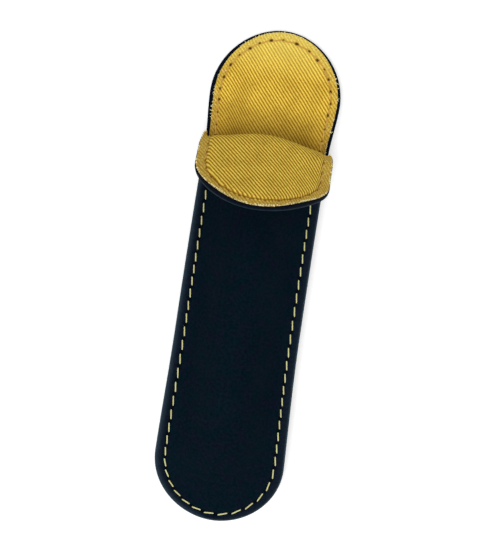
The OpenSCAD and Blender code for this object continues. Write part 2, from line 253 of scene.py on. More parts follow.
def ease(t):
    """Smooth step from 0 to 1."""
    t = np.clip(t, 0, 1)
    return t * t * (3 - 2 * t)


def bell(t):
    """Bell curve from 1 at 0 to 0 at 1."""
    return (1 + np.cos(np.pi * np.clip(t, 0, 1))) / 2


def bump(distance, width):
    """Round bump, 1 at a distance of 0."""
    return np.exp(-(distance / width) ** 2)


def bottom_y():
    return BACK_LOW.y


def tip_y():
    return BACK_HIGH.y


def bottom_round_y():
    return BACK_LOW.y + shape().bottom_round


def tongue_round_y():
    return BACK_HIGH.y - shape().tongue_round


def mouth_y():
    return AXIS_Y + AXIS_TO_MOUTH


def fold_start_y():
    return AXIS_Y - flap().reach


def stack():
    """Thickness of leather, interlining and lining."""
    return shape().leather + shape().interlining + shape().lining


def side_x(y):
    """Half width of the sleeve, drawn in where the hollow is full."""
    full = ease((y - bottom_y()) / shape().draw_length)
    full = full * (1 - ease((y - mouth_y()) / (tongue_round_y() - mouth_y())))
    return shape().width / 2 - shape().draw_in * full


def reach(x, y):
    """Share of the way from the middle of a panel to its edge."""
    s = shape()
    bottom = np.maximum(0, bottom_round_y() - y) / s.bottom_round
    tongue = np.maximum(0, y - tongue_round_y()) / s.tongue_round
    p = s.end_power
    return ((np.abs(x) / side_x(y)) ** p + bottom ** p + tongue ** p) ** (1 / p)


def belly_at(y):
    """Height of the seam above the hollow's floor."""
    s = shape()
    pocket = s.bottom_belly + (s.belly - s.bottom_belly) * ease((y - bottom_y()) / s.swell)
    tongue = s.belly + (s.tip_belly - s.belly) * ease((y - mouth_y()) / (tip_y() - mouth_y()))
    return np.where(y < mouth_y(), pocket, tongue)


def floor_z(x, y):
    """Height of the back's inner face."""
    s = shape()
    hollow_half = s.width / 2 - s.allowance
    from_middle = reach(x, y) * s.width / 2 - s.rest_width / 2
    belly = belly_at(y)
    return stack() + belly * (1 - bell(from_middle / (hollow_half - s.rest_width / 2)))


def roof_z(x, y):
    """Height of the front's inner face."""
    s = shape()
    hollow_half = s.width / 2 - s.allowance
    t = np.minimum(1, reach(x, y) * s.width / 2 / hollow_half)
    rise = ease((y - bottom_y() - s.allowance) / s.swell)
    return stack() + belly_at(y) + (s.hollow - s.belly) * rise * bell(t ** s.crown_power)


def bow_at(y):
    """How far the sleeve's slight sideways bow moves a place to the right."""
    from_middle = y / (tip_y() - bottom_y()) * 2
    return shape().bow * (from_middle ** 2 - 0.5)


def panel_points(face_z, side, x, y, depth):
    """Points at a depth behind an inner face, square to it. side is -1 for the back."""
    d = mm(0.02)
    zx = (face_z(x + d, y) - face_z(x - d, y)) / (2 * d)
    zy = (face_z(x, y + d) - face_z(x, y - d)) / (2 * d)
    out = side * depth / np.sqrt(zx ** 2 + zy ** 2 + 1)
    across, along = x - out * zx, y - out * zy
    return np.stack([across + bow_at(along), along, face_z(x, y) + out], axis=-1)


def back_points(x, y, depth):
    return panel_points(floor_z, -1, x, y, depth)


def front_points(x, y, depth):
    return panel_points(roof_z, 1, x, y, depth)


def flap_height(u, w):
    """How far the flap's face stands off its flat plane: its sides droop, and less so towards
    its end, and its right turns down, most of all half way along it."""
    f = flap()
    half = f.width / 2
    drop = f.droop * (u / half) ** 2 * (1 - DROOP_LOST * w / f.length)
    turned = np.maximum(0, u)
    start, growing, full, fading = -mm(2), mm(16), mm(14), mm(18)
    grown = ease((w - start) / growing) * (1 - TURN_LOST * ease((w - full) / fading))
    return -drop - math.tan(f.turn) / 2 * turned ** 2 / half * grown


def flap_points(u, w, height):
    """Points of the flap: u across, w away from the fold, height above its leather side."""
    f = flap()
    n = f.gap / 2 + height + flap_height(u, w)
    c, s = math.cos(f.lift), math.sin(f.lift)
    side = u / (f.width / 2)
    near_fold = 1 - ease(w / FOLD_ZONE)
    right = ease(side) * (1 + 0.9 * near_fold)
    along = np.maximum(0, w - (f.length - f.round)) / f.round
    rounder = (2 * side * along) ** 2 * np.where(side > 0, f.right_round, -f.left_round)
    across = u + f.right_out * right - rounder + bow_at(AXIS_Y)
    w = w - f.tilt * side * ease(w / f.length)
    return np.stack([across, AXIS_Y - w * c + n * s, AXIS_Z + w * s + n * c], axis=-1)


def arc_across(height, x, y):
    """Distance along a face from its middle line to each place, straight across the panel."""
    total = np.zeros_like(x)
    count = 12
    shares = (np.arange(count) + 0.5) / count
    d = mm(0.05)
    for t in shares:
        slope = (height(x * t + d, y) - height(x * t - d, y)) / (2 * d)
        total += np.sqrt(1 + slope ** 2)
    return x * total / len(shares)


def round_points(s, t, power):
    """Points of a rounded end in shares of its half width and length."""
    r = np.maximum(np.abs(s), t)
    safe = np.where(r > 0, r, 1)
    low = t <= np.abs(s)
    turn = np.where(low, math.pi / 4 * t / safe, math.pi / 2 - math.pi / 4 * np.abs(s) / safe)
    across = np.sign(s) * r * np.maximum(np.cos(turn), 0) ** (2 / power)
    return across, r * np.maximum(np.sin(turn), 0) ** (2 / power), r


# Widths of the bands along an edge that hold the seam and the rim
SEAM_BAND = mm(4.8)
RIM_BAND = mm(0.5)


def ring_shares(half, edge):
    """Shares of the half width at which the rings lie: wide cells inside and fine ones at the
    seam and the rim."""
    inside = np.linspace(0, 1 - SEAM_BAND / half, 15)
    seam = np.linspace(1 - SEAM_BAND / half, 1 - (edge + RIM_BAND) / half, 15)[1:]
    rim = np.linspace(1 - (edge + RIM_BAND) / half, 1 - edge / half, 5)[1:]
    return np.concatenate([inside, seam, rim])


def spread(low, high, step):
    """Places from low to high, about a step apart."""
    return np.linspace(low, high, max(2, round((high - low) / step) + 1))


# Length of a cell along the sleeve
STEP = mm(0.6)


class Grid:
    """Rows of places on a panel. Each row runs across the panel, and rows run from the bottom."""

    def __init__(self):
        self.x, self.y, self.r = [], [], []

    def add(self, x, y, r):
        self.x.append(x)
        self.y.append(y)
        self.r.append(r)

    def arrays(self):
        return np.array(self.x), np.array(self.y), np.array(self.r)


def signed(shares):
    return np.concatenate([-shares[:0:-1], shares])


def bottom_rows(grid, shares):
    s = signed(shares)
    for k in range(len(shares) - 1, 0, -1):
        across, along, r = round_points(s, np.full_like(s, shares[k]), shape().end_power)
        y = bottom_round_y() - along * shape().bottom_round
        grid.add(across * side_x(y), y, r)


def straight_rows(grid, shares, ys):
    s = signed(shares)
    for y in ys:
        row = np.full_like(s, y)
        grid.add(s * side_x(row), row, np.abs(s))


def tongue_rows(grid, shares):
    s = signed(shares)
    for k in range(1, len(shares)):
        across, along, r = round_points(s, np.full_like(s, shares[k]), shape().end_power)
        y = tongue_round_y() + along * shape().tongue_round
        grid.add(across * side_x(y), y, r)


def flap_rows(grid, shares):
    """Rows of the flap, with u for x and w for y."""
    f = flap()
    s = signed(shares)
    for w in spread(f.reach, f.length - f.round, STEP):
        grid.add(s * f.width / 2, np.full_like(s, w), np.abs(s))
    for k in range(1, len(shares)):
        across, along, r = round_points(s, np.full_like(s, shares[k]), f.power)
        grid.add(across * f.width / 2, f.length - f.round + along * f.round, r)


def edge_distance(r, half):
    return (1 - r) * half


# Stitches: each seam is a list of needle holes in order, as places on its panel.

# Distance between the points of the line that a seam follows
LINE_STEP = mm(2)

# How far below the mouth the tongue's seam starts, and how far beyond the bend the flap's does
TONGUE_START = mm(3)
FLAP_START = mm(0.6)


def outline_walk(points, pitch):
    """Places a pitch apart along a line of points, with a slow unevenness of hand work."""
    points = np.array(points)
    steps = np.linalg.norm(np.diff(points, axis=0), axis=1)
    along = np.concatenate([[0], np.cumsum(steps)])
    count = round(along[-1] / pitch)
    t = np.linspace(0, 1, count + 1)
    uneven = 0.006 * np.sin(t * 23.0)
    t = t + uneven * np.sin(math.pi * t)
    return np.stack([np.interp(t * along[-1], along, points[:, i]) for i in (0, 1)], axis=1)


def round_line(a, b, y, side, power, count=80):
    """Points round an end from its left side to its right side."""
    angles = np.linspace(math.pi, 0, count)
    across = a * np.sign(np.cos(angles)) * np.abs(np.cos(angles)) ** (2 / power)
    along = b * np.maximum(np.sin(angles), 0) ** (2 / power)
    return [(x, y + side * d) for x, d in zip(across, along)]


def seam_holes():
    """Holes of the sleeve's seam: down the right, round the bottom and up the left."""
    s, st = shape(), stitches()
    a = 1 - st.inset / (s.width / 2)
    ys = spread(bottom_round_y(), fold_start_y(), LINE_STEP)
    left = [(-a * float(side_x(np.array(y))), y) for y in ys[::-1]]
    right = [(a * float(side_x(np.array(y))), y) for y in ys]
    end_a = a * float(side_x(np.array(bottom_round_y())))
    end = round_line(end_a, s.bottom_round - st.bottom_inset, bottom_round_y(), -1, s.end_power)
    closer = (1 - st.left_inset / (s.width / 2)) / a
    line = [(x * closer if x < 0 else x, y) for x, y in left[:-1] + end + right[1:]]
    return outline_walk(line, st.pitch)[::-1]


def tongue_holes():
    """Holes round the tongue, from its left side to its right side."""
    s, st = shape(), stitches()
    a = 1 - st.inset / (s.width / 2)
    ys = spread(mouth_y() - TONGUE_START, tongue_round_y(), LINE_STEP)
    left = [(-a * float(side_x(np.array(y))), y) for y in ys]
    right = [(a * float(side_x(np.array(y))), y) for y in ys[::-1]]
    end_a = a * float(side_x(np.array(tongue_round_y())))
    end = round_line(end_a, s.tongue_round - st.inset, tongue_round_y(), 1, s.end_power)
    return outline_walk(left[:-1] + end + right[1:], st.pitch)


def flap_holes():
    """Holes round the flap in its own plane, from its left side to its right side."""
    f, st = flap(), stitches()
    a = f.width / 2 - st.inset
    ws = spread(f.reach + FLAP_START, f.length - f.round, LINE_STEP)
    left = [(-a, w) for w in ws]
    right = [(a, w) for w in ws[::-1]]
    end = round_line(a, f.round - st.inset, f.length - f.round, 1, f.power)
    return outline_walk(left[:-1] + end + right[1:], st.pitch)


def near_seam(x, y, seams):
    """For each place, the stitches counted along its nearest seam from the seam's nearer end,
    and how far off it the place lies, which is less than 0 inside the seam."""
    best = np.full(x.shape, np.inf)
    walk, off = np.zeros_like(x), np.zeros_like(x)
    for holes in seams:
        for k, ((ax, ay), (bx, by)) in enumerate(zip(holes[:-1], holes[1:])):
            dx, dy = bx - ax, by - ay
            t = np.clip(((x - ax) * dx + (y - ay) * dy) / (dx * dx + dy * dy), 0, 1)
            away = np.hypot(x - ax - t * dx, y - ay - t * dy)
            near = away < best
            best[near] = away[near]
            walk[near] = np.minimum(k + t, len(holes) - 1 - k - t)[near]
            off[near] = (away * np.sign(dx * (y - ay) - dy * (x - ax)))[near]
    return walk, off


# Meshes

def new_object(name, vertices, faces):
    mesh = bpy.data.meshes.new(name)
    mesh.from_pydata(vertices.tolist(), [], faces)
    mesh.polygons.foreach_set("use_smooth", np.ones(len(mesh.polygons), bool))
    mesh.update()
    thing = bpy.data.objects.new(name, mesh)
    bpy.context.scene.collection.objects.link(thing)
    return thing


def put_values(thing, name, values):
    attribute = thing.data.attributes.new(name, "FLOAT", "POINT")
    attribute.data.foreach_set("value", np.asarray(values, np.float32).ravel())


def put_pattern(thing, pattern):
    """The place of each vertex on the flat cut pattern, in millimetres, as a UV map."""
    layer = thing.data.uv_layers.new(name="pattern")
    loops = np.zeros(len(thing.data.loops), np.int32)
    thing.data.loops.foreach_get("vertex_index", loops)
    layer.data.foreach_set("uv", (pattern[loops] * 1000).astype(np.float32).ravel())


def ring(grid):
    """The border of a grid, in order."""
    return np.concatenate([grid[0, :-1], grid[:-1, -1], grid[-1, :0:-1], grid[:0:-1, 0]])


def border_neighbours(grid):
    """What lies just inside each place of the border of a grid."""
    return np.concatenate([grid[1, :-1], grid[:-1, -2], grid[-2, :0:-1], grid[:0:-1, 1]])


def shell_object(name, outer, inner, pattern, values, bulge, wall_steps=4, shown_first=True):
    """A closed skin between two grids of points, with a rounded wall round its border. The
    value through runs from 0 on the face that shows to 1 on the other."""
    rows, cols, _ = outer.shape
    count = rows * cols
    index = np.arange(count).reshape(rows, cols)
    a, b, c, d = index[:-1, :-1], index[:-1, 1:], index[1:, 1:], index[1:, :-1]
    top = np.stack([a, b, c, d], axis=-1).reshape(-1, 4)
    faces = top.tolist() + (top[:, ::-1] + count).tolist()
    loop = ring(index)
    flat_outer, flat_inner = outer.reshape(-1, 3), inner.reshape(-1, 3)
    away = flat_outer[loop] - border_neighbours(outer)
    away = away / np.maximum(np.linalg.norm(away, axis=1, keepdims=True), 1e-9)
    vertices = [flat_outer, flat_inner]
    rims = [loop]
    total = 2 * count
    for k in range(1, wall_steps):
        t = k / wall_steps
        vertices.append(flat_outer[loop] * (1 - t) + flat_inner[loop] * t
                        + away * bulge * math.sin(math.pi * t))
        rims.append(np.arange(total, total + len(loop)))
        total += len(loop)
    rims.append(loop + count)
    for upper, lower in zip(rims[:-1], rims[1:]):
        wall = np.stack([upper, lower, np.roll(lower, -1), np.roll(upper, -1)], axis=-1)
        faces += wall.tolist()
    thing = new_object(name, np.concatenate(vertices), faces)
    wall_count = total - 2 * count
    flat_pattern = pattern.reshape(-1, 2)
    put_pattern(thing, np.concatenate(
        [flat_pattern, flat_pattern] + [flat_pattern[loop]] * (wall_steps - 1)))
    for key, field in values.items():
        flat = field.ravel()
        put_values(thing, key, np.concatenate([flat, flat] + [flat[loop]] * (wall_steps - 1)))
    put_values(thing, "wall", np.concatenate([np.zeros(2 * count), np.ones(wall_count)]))
    depth = np.repeat(np.arange(1, wall_steps) / wall_steps, len(loop))
    through = np.concatenate([np.zeros(count), np.ones(count), depth])
    put_values(thing, "through", through if shown_first else 1 - through)
    return thing


# Distance along a twisted thread from one ply to the next
PLY = mm(1.1)


def thread_object(name, paths, radius, sides=12):
    """Short lengths of three-ply twisted thread, each along its own path of points."""
    vertices, faces, along_values, stitch_values = [], [], [], []
    start = 0
    for number, (points, ups) in enumerate(paths):
        tangent = np.gradient(points, axis=0)
        tangent /= np.linalg.norm(tangent, axis=1, keepdims=True)
        side = np.cross(tangent, ups)
        side /= np.linalg.norm(side, axis=1, keepdims=True)
        up = np.cross(side, tangent)
        length = np.concatenate([[0], np.cumsum(np.linalg.norm(np.diff(points, axis=0), axis=1))])
        rings = len(points)
        angles = np.arange(sides) * 2 * math.pi / sides
        for i in range(rings):
            twist = length[i] / PLY * 2 * math.pi / 3
            lobe = 1 + 0.10 * np.cos(3 * (angles - twist))
            taper = 1.0 if 0 < i < rings - 1 else 0.7
            r = radius * lobe * taper
            vertices.append(points[i] + np.outer(np.cos(angles) * r * 1.08, side[i])
                            + np.outer(np.sin(angles) * r * 0.9, up[i]))
            along_values += [length[i] / length[-1]] * sides
            stitch_values += [number % 7 / 7] * sides
        corners = np.arange(sides)
        for i in range(rings - 1):
            lower, upper = start + i * sides + corners, start + (i + 1) * sides + corners
            faces += np.stack([lower, np.roll(lower, -1), np.roll(upper, -1), upper],
                              axis=-1).tolist()
        faces.append((start + corners[::-1]).tolist())
        faces.append((start + (rings - 1) * sides + corners).tolist())
        start += rings * sides
    thing = new_object(name, np.concatenate(vertices), faces)
    put_values(thing, "along", along_values)
    put_values(thing, "stitch", stitch_values)
    return thing


def hashed(k, seed):
    """A number from 0 to 1 that looks random and is the same in each run."""
    value = np.sin(k * 12.9898 + seed * 78.233) * 43758.5453
    return value - np.floor(value)


# The yarn ends fray in clumps: places for ends in a clump, and the share of clumps left bare
CLUMP = 4
BARE_CLUMPS = 0.4


def fray_paths(grid, keep, spacing):
    """Loose yarn ends along the border of a grid of points, where keep says so."""
    points, kept = ring(grid), ring(keep)
    away = points - border_neighbours(grid)
    away /= np.maximum(np.linalg.norm(away, axis=1, keepdims=True), 1e-9)
    tangent = np.roll(points, -1, axis=0) - np.roll(points, 1, axis=0)
    tangent /= np.maximum(np.linalg.norm(tangent, axis=1, keepdims=True), 1e-9)
    steps = np.linalg.norm(np.roll(points, -1, axis=0) - points, axis=1)
    along = np.concatenate([[0], np.cumsum(steps)])[:-1]
    paths = []
    for k in range(int(along[-1] / spacing)):
        i = int(np.searchsorted(along, (k + hashed(k, 1)) * spacing))
        bare = hashed(k // CLUMP, 5) < BARE_CLUMPS
        if bare or i >= len(points) or not kept[i]:
            continue
        up = np.cross(away[i], tangent[i])
        up *= np.sign(up[2]) or 1
        lean = (hashed(k, 2) - 0.5) * 2.2
        length = mm(0.35) + mm(0.8) * hashed(k, 3) ** 2
        way = away[i] * math.cos(lean) + tangent[i] * math.sin(lean)
        t = np.linspace(0, 1, 5)[:, None]
        path = points[i] - away[i] * mm(0.25) + way * length * t
        path = path + up * (mm(0.12) + mm(0.25) * np.sin(t * 2.6) * hashed(k, 4))
        paths.append((path, np.repeat(up[None], 5, axis=0)))
    return paths


# Where a stitch comes up after its needle hole, and the length that shows, in pitches
STITCH_START = 0.16
STITCH_SHOWN = 0.68


def stitch_paths(holes, place, surface, lift, sink, slant):
    """Paths of the stitches between holes. place(x, y, height) gives points, with height above
    the face, and surface(x, y) is the height of the face that they lie on."""
    paths = []
    steps = np.array([0, 0.07, 0.13, 0.2, 0.32, 0.5, 0.68, 0.8, 0.87, 0.93, 1.0])
    level = np.array([-1.0, -0.25, 0.45, 0.85, 1.0, 1.0, 1.0, 0.85, 0.45, -0.25, -1.0])
    for (x0, y0), (x1, y1) in zip(holes[:-1], holes[1:]):
        d = np.array([x1 - x0, y1 - y0])
        length = np.linalg.norm(d)
        across = np.array([-d[1], d[0]]) / length * math.tan(slant) * length / 2
        t = STITCH_START + STITCH_SHOWN * steps
        x = x0 + d[0] * t + across[0] * (1 - 2 * t)
        y = y0 + d[1] * t + across[1] * (1 - 2 * t)
        height = surface(x, y) + np.where(level > 0, level * lift, -level * -sink)
        points = place(x, y, height)
        ups = place(x, y, height + mm(0.1)) - points
        paths.append((points, ups))
    return paths


# Materials

def linear(colour):
    """A colour as it looks, in the linear values that a shader takes."""
    low, start, power = 0.04045, 0.055, 2.4
    values = (v / 12.92 if v <= low else ((v + start) / (1 + start)) ** power for v in colour)
    return (*values, 1)


class Nodes:
    """Short calls for building a material's nodes."""

    def __init__(self, name):
        self.material = bpy.data.materials.new(name)
        self.material.use_nodes = True
        self.tree = self.material.node_tree
        self.shader = self.tree.nodes["Principled BSDF"]

    def node(self, kind, **settings):
        made = self.tree.nodes.new(kind)
        for key, value in settings.items():
            setattr(made, key, value)
        return made

    def link(self, source, target):
        self.tree.links.new(source, target)

    def fill(self, socket, value):
        if isinstance(value, bpy.types.NodeSocket):
            self.link(value, socket)
        elif value is not None:
            socket.default_value = value

    def math(self, operation, a, b=None):
        made = self.node("ShaderNodeMath", operation=operation)
        self.fill(made.inputs[0], a)
        self.fill(made.inputs[1], b)
        return made.outputs[0]

    def times(self, a, b):
        return self.math("MULTIPLY", a, b)

    def plus(self, a, b):
        return self.math("ADD", a, b)

    def rest_of(self, a):
        """What a leaves of 1."""
        return self.math("SUBTRACT", 1.0, a)

    def mix(self, amount, a, b):
        made = self.node("ShaderNodeMix", data_type="RGBA")
        self.fill(made.inputs[0], amount)
        self.fill(made.inputs[6], a)
        self.fill(made.inputs[7], b)
        return made.outputs[2]

    def over(self, base, amount, colour):
        """The base with some of a colour over it."""
        return self.mix(amount, base, linear(colour))

    def value(self, name):
        return self.node("ShaderNodeAttribute", attribute_name=name).outputs["Fac"]

    def pattern(self):
        return self.node("ShaderNodeUVMap", uv_map="pattern").outputs[0]

    def parts(self, vector):
        """The three numbers of a vector or a colour."""
        made = self.node("ShaderNodeSeparateXYZ")
        self.link(vector, made.inputs[0])
        return made.outputs

    def place(self, x, y):
        made = self.node("ShaderNodeCombineXYZ")
        self.link(x, made.inputs[0])
        self.link(y, made.inputs[1])
        return made.outputs[0]

    def noise(self, vector, scale, detail=2.0, roughness=0.5):
        made = self.node("ShaderNodeTexNoise")
        self.link(vector, made.inputs["Vector"])
        made.inputs["Scale"].default_value = scale
        made.inputs["Detail"].default_value = detail
        made.inputs["Roughness"].default_value = roughness
        return made.outputs["Fac"]

    def remap(self, value, low, high, to_low=0.0, to_high=1.0):
        made = self.node("ShaderNodeMapRange")
        self.fill(made.inputs[0], value)
        for socket, number in zip(made.inputs[1:5], (low, high, to_low, to_high)):
            socket.default_value = number
        return made.outputs[0]

    def colour(self, base):
        self.link(base, self.shader.inputs["Base Color"])

    def relief(self, height, distance, strength):
        """Fine relief in the surface, too small for the mesh."""
        made = self.node("ShaderNodeBump")
        made.inputs["Strength"].default_value = strength
        made.inputs["Distance"].default_value = distance
        self.link(height, made.inputs["Height"])
        self.link(made.outputs[0], self.shader.inputs["Normal"])

    def gloss(self, roughness, specular=0.5):
        self.shader.inputs["Roughness"].default_value = roughness
        self.shader.inputs["Specular IOR Level"].default_value = specular


# Width of a needle hole as a share of its length along the seam
HOLE_WIDTH = 0.7


def needle_holes(n, low, high, wander=0.0):
    """Mask of the needle holes along a seam, fading out from low to high millimetres. Each
    hole strays from its place by up to the wander, and is up to as much smaller."""
    walk = n.value("walk")
    number = n.math("ROUND", walk)
    chance = n.node("ShaderNodeTexWhiteNoise", noise_dimensions="1D")
    n.link(number, chance.inputs["W"])
    stray = n.parts(chance.outputs["Color"])
    along = n.times(n.math("SUBTRACT", walk, number), stitches().pitch * 1000 * HOLE_WIDTH)
    place = n.place(n.plus(along, n.remap(stray[0], 0, 1, -wander, wander)),
                    n.plus(n.value("off"), n.remap(stray[1], 0, 1, -wander, wander)))
    away = n.node("ShaderNodeVectorMath", operation="LENGTH")
    n.link(place, away.inputs[0])
    distance = n.plus(away.outputs["Value"], n.remap(stray[2], 0, 1, 0, wander))
    return n.remap(distance, low, high, 1.0, 0.0)


def seam_line(n, low, high):
    """Mask of a seam's whole line, fading out from low to high millimetres."""
    return n.remap(n.math("ABSOLUTE", n.value("off")), low, high, 1.0, 0.0)


def leather_material(name):
    """Matt blue-black leather with a fine grain, faint purple clouding and a burnished edge with
    painted sheen.
    """
    c = colours()
    n = Nodes(name)
    pattern = n.pattern()
    cloud = n.remap(n.noise(pattern, 0.28, 3.0, 0.65), 0.42, 0.62)
    patch = n.remap(n.noise(pattern, 0.07, 2.0, 0.5), 0.35, 0.7)
    fleck = n.noise(pattern, 1.1, 2.0, 0.7)
    base = n.mix(cloud, linear(c.leather), linear(c.leather_cloud))
    base = n.over(base, n.times(patch, 0.5), c.leather_worn)
    base = n.over(base, n.times(n.value("outside"), 0.45), c.leather_cloud)
    base = n.over(base, n.remap(fleck, 0.4, 0.75, 0.0, 0.6), c.leather_worn)
    base = n.over(base, n.remap(fleck, 0.6, 0.3, 0.0, 0.6), c.hole)
    # Painted shade in the seam's groove and at its needle holes
    dark = n.math("MAXIMUM", needle_holes(n, 0.35, 1.1), seam_line(n, 0.1, 0.55))
    base = n.over(base, n.times(dark, 0.85), c.hole)
    # Painted sheen on the rounded edge, over the burnished edge's own colour, on the face that
    # shows
    corner = n.math("POWER", n.rest_of(n.value("through")), 3.0)
    rim = n.times(n.times(n.value("rim"), corner), n.remap(fleck, 0.35, 0.6, 0.6, 0.9))
    n.colour(n.over(base, rim, c.edge))
    cells = n.node("ShaderNodeTexVoronoi", feature="DISTANCE_TO_EDGE")
    n.link(pattern, cells.inputs["Vector"])
    cells.inputs["Scale"].default_value = 1.7
    grain = n.remap(cells.outputs["Distance"], 0.0, 0.12)
    fine = n.noise(pattern, 4.0, 3.0, 0.6)
    n.relief(n.plus(n.times(grain, 0.5), n.times(fine, 0.6)), mm(0.05), 0.5)
    n.gloss(0.62, 0.06)
    n.shader.inputs["Specular Tint"].default_value = linear(c.sheen)
    return n.material


# Picks of the weave along a rib, in the length of one rib pitch
PICKS = 1.6


def twill_material(name, rib_colour, furrow_colour, contrast, shaded_crease):
    """Twill: slanting ribs of yarn with darker furrows, a cut edge and a sunk seam with painted
    shade in its crease.
    shaded_crease is how much the seam's line shows between its needle holes."""
    c = colours()
    n = Nodes(name)
    pattern = n.pattern()
    ribs, along = n.parts(pattern)[:2]
    phase = n.plus(ribs, n.times(n.noise(pattern, 0.5, 2.0), 0.3))
    rib = n.remap(n.math("SINE", n.times(phase, 2 * math.pi)), -0.75, 0.75)
    yarn = n.place(n.math("FLOOR", n.plus(phase, 0.25)), n.times(along, 0.9))
    slub = n.noise(yarn, 1.0, 2.0, 0.6)
    pick = n.times(n.plus(along, n.times(ribs, 0.5)), 2 * math.pi * PICKS)
    pick = n.remap(n.math("SINE", pick), -1.0, 1.0)
    outside = n.value("outside")
    rib_share = n.remap(outside, 0.0, 1.0, contrast, contrast * 0.6)
    beads = n.times(rib, n.remap(pick, 0.0, 1.0, 0.78, 1.0))
    level = n.plus(n.times(beads, rib_share), n.times(n.rest_of(rib_share), 0.5))
    base = n.mix(level, linear(furrow_colour), linear(rib_colour))

    # Yarns that catch the light or lie deep, specks and stains
    light = n.times(n.remap(slub, 0.55, 0.75), rib)
    base = n.over(base, n.times(light, 0.45), c.twill_light)
    base = n.over(base, n.remap(slub, 0.45, 0.25, 0.0, 0.5), furrow_colour)
    speck = n.noise(pattern, 2.2, 2.0, 0.8)
    base = n.over(base, n.remap(speck, 0.56, 0.72, 0.0, 0.5), c.twill_light)
    deep = n.times(n.remap(speck, 0.48, 0.36), n.rest_of(rib))
    base = n.over(base, n.times(deep, 0.85), c.twill_fleck)
    stain = n.remap(n.noise(pattern, 0.16, 2.0), 0.4, 0.7, 0.0, 0.22)
    base = n.over(base, stain, c.twill_shade)

    # Painted shade, duller towards the mouth, and painted light, lighter towards the tongue's tip
    up = n.value("from_mouth")
    base = n.over(base, n.remap(up, 0.4, -0.1, 0.0, 0.8), c.twill_shade)
    base = n.over(base, n.remap(up, 0.6, 1.0, 0.0, 0.45), c.twill_light)

    # Rougher outside the seam
    base = n.over(base, n.times(outside, 0.45 * shaded_crease), c.twill_rim)
    rough = n.noise(pattern, 1.6, 3.0, 0.75)
    pale = n.times(n.remap(rough, 0.58, 0.70, 0.0, 0.75), outside)
    base = n.over(base, pale, c.cut_edge)
    dull = n.times(n.remap(rough, 0.48, 0.34, 0.0, 0.5), outside)
    base = n.over(base, dull, c.twill_shade)

    # The seam's crease and needle holes in painted shade, and the cut edge
    fray = n.noise(pattern, 1.3, 3.0, 0.7)
    line = n.times(seam_line(n, 0.05, 0.42), n.remap(fray, 0.3, 0.6, 0.5, 1.0))
    base = n.over(base, n.times(line, shaded_crease), c.shaded_crease)
    worn = n.times(needle_holes(n, 0.3, 1.3, 0.2), 0.6 - 0.4 * shaded_crease)
    base = n.over(base, worn, c.lining_thread)
    # Painted shade in the needle holes
    hole = n.times(needle_holes(n, 0.32, 0.72, 0.25), 1.0 - 0.5 * shaded_crease)
    base = n.over(base, hole, c.needle_hole_shade)
    cut = n.mix(n.remap(fray, 0.42, 0.58), linear(c.twill_shade), linear(c.cut_edge))
    n.colour(n.mix(n.times(n.value("wall"), 0.9), base, cut))
    n.relief(n.plus(rib, n.times(pick, 0.25)), mm(0.12), 0.6)
    n.gloss(0.85, 0.03)
    return n.material


# What is left of red, green and blue in the darkest stitches
DARK_STITCH = (0.85, 0.74, 0.6)


def thread_material(name, colour):
    """Waxed twisted thread, a little darker and yellower from stitch to stitch."""
    n = Nodes(name)
    light = linear(colour)
    dark = (*(v * left for v, left in zip(light, DARK_STITCH)), 1)
    n.colour(n.mix(n.times(n.value("stitch"), 0.6), light, dark))
    n.gloss(0.6)
    return n.material


def interlining_material(name):
    """Undyed felted stiffening."""
    c = colours()
    n = Nodes(name)
    fibres = n.noise(n.pattern(), 3.0, 4.0, 0.7)
    n.colour(n.over(linear(c.interlining), n.times(fibres, 0.5), c.interlining_shade))
    n.relief(fibres, mm(0.1), 0.6)
    n.gloss(0.9)
    return n.material


MATERIALS = {}


def finish_with(thing, material):
    """Gives a piece its finish, made once."""
    if material not in MATERIALS:
        c = colours()
        makers = {
            "leather": lambda: leather_material("leather"),
            "lining": lambda: twill_material("twill", c.twill, c.twill_groove, 1.0, 0.12),
            # The flap's twill takes the shaded copies of the twill's colours
            "flap_lining": lambda: twill_material(
                "flap_twill", c.flap_twill, c.flap_groove_shaded, 0.95, 1.0),
            "thread": lambda: thread_material("thread", c.thread),
            # The thread in the twill takes the thread's colour darkened as painted shade
            "lining_thread": lambda: thread_material("lining_thread", c.lining_thread),
            "frays": lambda: thread_material("frays", c.cut_edge),
            "interlining": lambda: interlining_material("interlining"),
        }
        MATERIALS[material] = makers[material]()
    thing.data.materials.append(MATERIALS[material])


# Layers: depth of each face behind the inner face, by distance from the edge

# Breadths of a seam's groove, of the dimple at a needle hole and of the burnished rim with its
# painted sheen
GROOVE_WIDTH = mm(0.6)
DIMPLE_WIDTH = mm(0.42)
RIM_AND_SHEEN_WIDTH = mm(0.5)


def leather_inner_depth(e):
    s = shape()
    over = ease((e - s.margin) / (s.allowance - s.margin))
    return s.lining * ease(e / s.margin) + s.interlining * over


def edge_fall(e):
    """How far a burnished edge falls away from the face."""
    r = shape().edge_round
    t = np.clip(1 - e / r, 0, 1)
    return 0.6 * r * (1 - np.sqrt(1 - t ** 2))


def seam_sink(walk, off, groove, hole):
    """How far a seam pulls a face in, along its line and at each needle hole."""
    along = (walk - np.round(walk)) * stitches().pitch
    return groove * bump(off, GROOVE_WIDTH) + hole * bump(np.hypot(along, off), DIMPLE_WIDTH)


def leather_outer_depth(e, walk, off):
    sink = seam_sink(walk, off, stitches().groove, stitches().hole)
    return leather_inner_depth(e) + shape().leather - edge_fall(e) - sink


def seam_values(walk, off, e):
    """What the finishes take from a seam: stitches counted, distance off it, and its outside."""
    outside = ease((stitches().inset - e) / mm(0.5) + 0.5)
    return {"walk": walk, "off": off * 1000, "outside": outside}


